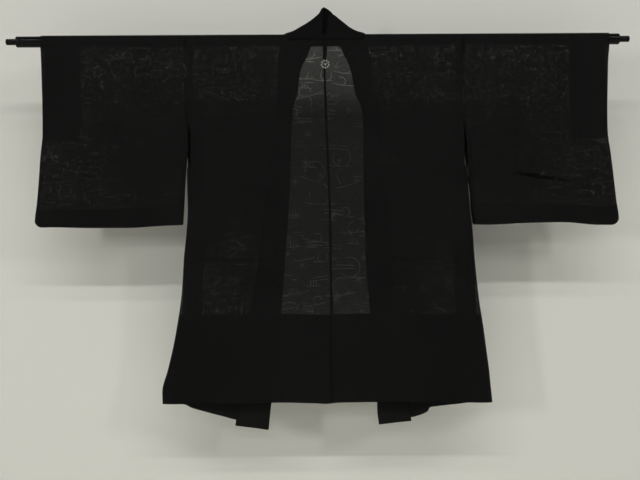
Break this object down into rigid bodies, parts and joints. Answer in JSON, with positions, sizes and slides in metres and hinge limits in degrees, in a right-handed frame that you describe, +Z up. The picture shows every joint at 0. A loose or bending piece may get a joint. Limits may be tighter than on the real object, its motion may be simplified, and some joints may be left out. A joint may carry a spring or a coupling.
{
  "type": "haori jacket hung on a garment rod",
  "caption": "Sheer black unlined haori jacket hung flat by its sleeves on a horizontal rod, seen from behind, with a standing collar and square sleeves.",
  "frame": {"origin": "on the rod's axis, halfway across the garment, where the rod carries the shoulders", "axes": "+X along the rod to the wearer's right, +Y from the back of the jacket to its fronts, +Z up"},
  "size_m": [1.419, 0.0408, 0.9648],
  "materials": {
    "black_gauze": "sheer figured silk gauze, matte with a faint lustre",
    "black_paint": "semi-gloss"
  },
  "bodies": {
    "root": {"body_left": "black_gauze", "body_right": "black_gauze", "sleeve_left": "black_gauze", "sleeve_right": "black_gauze", "collar": "black_gauze", "gusset_left": "black_gauze", "gusset_right": "black_gauze", "rod": "black_paint"}
  },
  "joints": []
}
